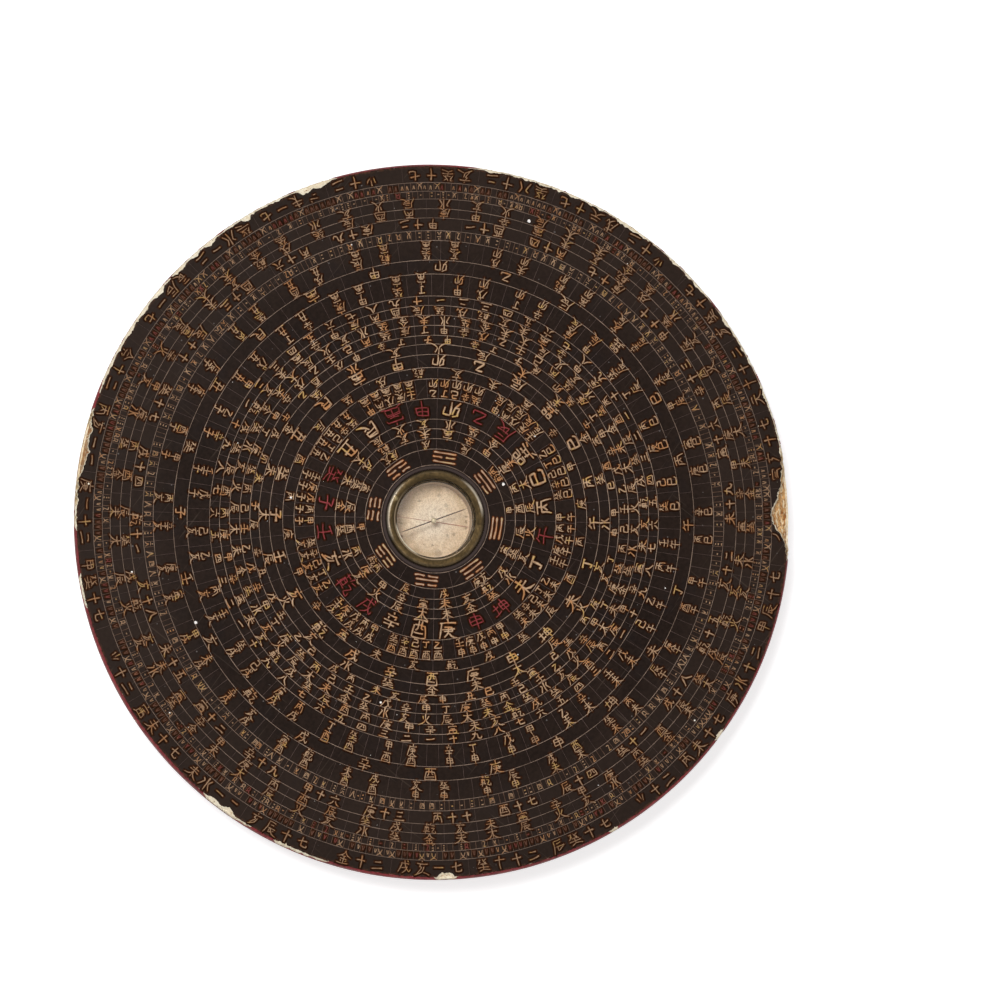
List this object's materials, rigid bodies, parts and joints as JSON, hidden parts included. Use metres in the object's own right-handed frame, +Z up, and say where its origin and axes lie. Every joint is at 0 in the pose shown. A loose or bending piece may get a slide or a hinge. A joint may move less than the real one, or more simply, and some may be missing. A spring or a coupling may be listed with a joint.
{
  "type": "feng shui compass",
  "caption": "Round lacquered wooden dial disc with a glazed pool at its centre, where a steel needle swings on a pin.",
  "frame": {"origin": "centre of the flat foot under the disc, on the surface that it rests on", "axes": "+Z up out of the dial face, +X towards the dial's east, +Y towards the dial's north"},
  "size_m": [0.216, 0.216, 0.0191],
  "materials": {
    "wood": "bare broken wood",
    "ground": "matt chalky ground",
    "black_lacquer": "worn black lacquer",
    "red_lacquer": "worn red lacquer",
    "old_brass": "dull olive patina",
    "bright_brass": "rubbed",
    "glass": "clear",
    "floor_card": "aged and foxed",
    "needle_steel": "browned",
    "gold_paint": "brushed signs",
    "red_paint": "brushed signs",
    "line_paint": "thin ruled lines"
  },
  "bodies": {
    "disc": {"wood_disc": "wood", "ground_coat": "ground", "face_lacquer": "black_lacquer", "back_lacquer": "red_lacquer", "bezel_ring": "old_brass", "pool_glass": "glass", "glass_wire": "bright_brass", "pool_floor": "floor_card", "pivot_pin": "bright_brass"},
    "needle": {"needle_blade": "needle_steel", "needle_cap": "bright_brass"}
  },
  "joints": [
    {"name": "needle_swing", "type": "hinge", "parent": "disc", "child": "needle", "pos_m": [0, 0, 0.01232], "axis": [0, 0, 1], "continuous": true}
  ]
}
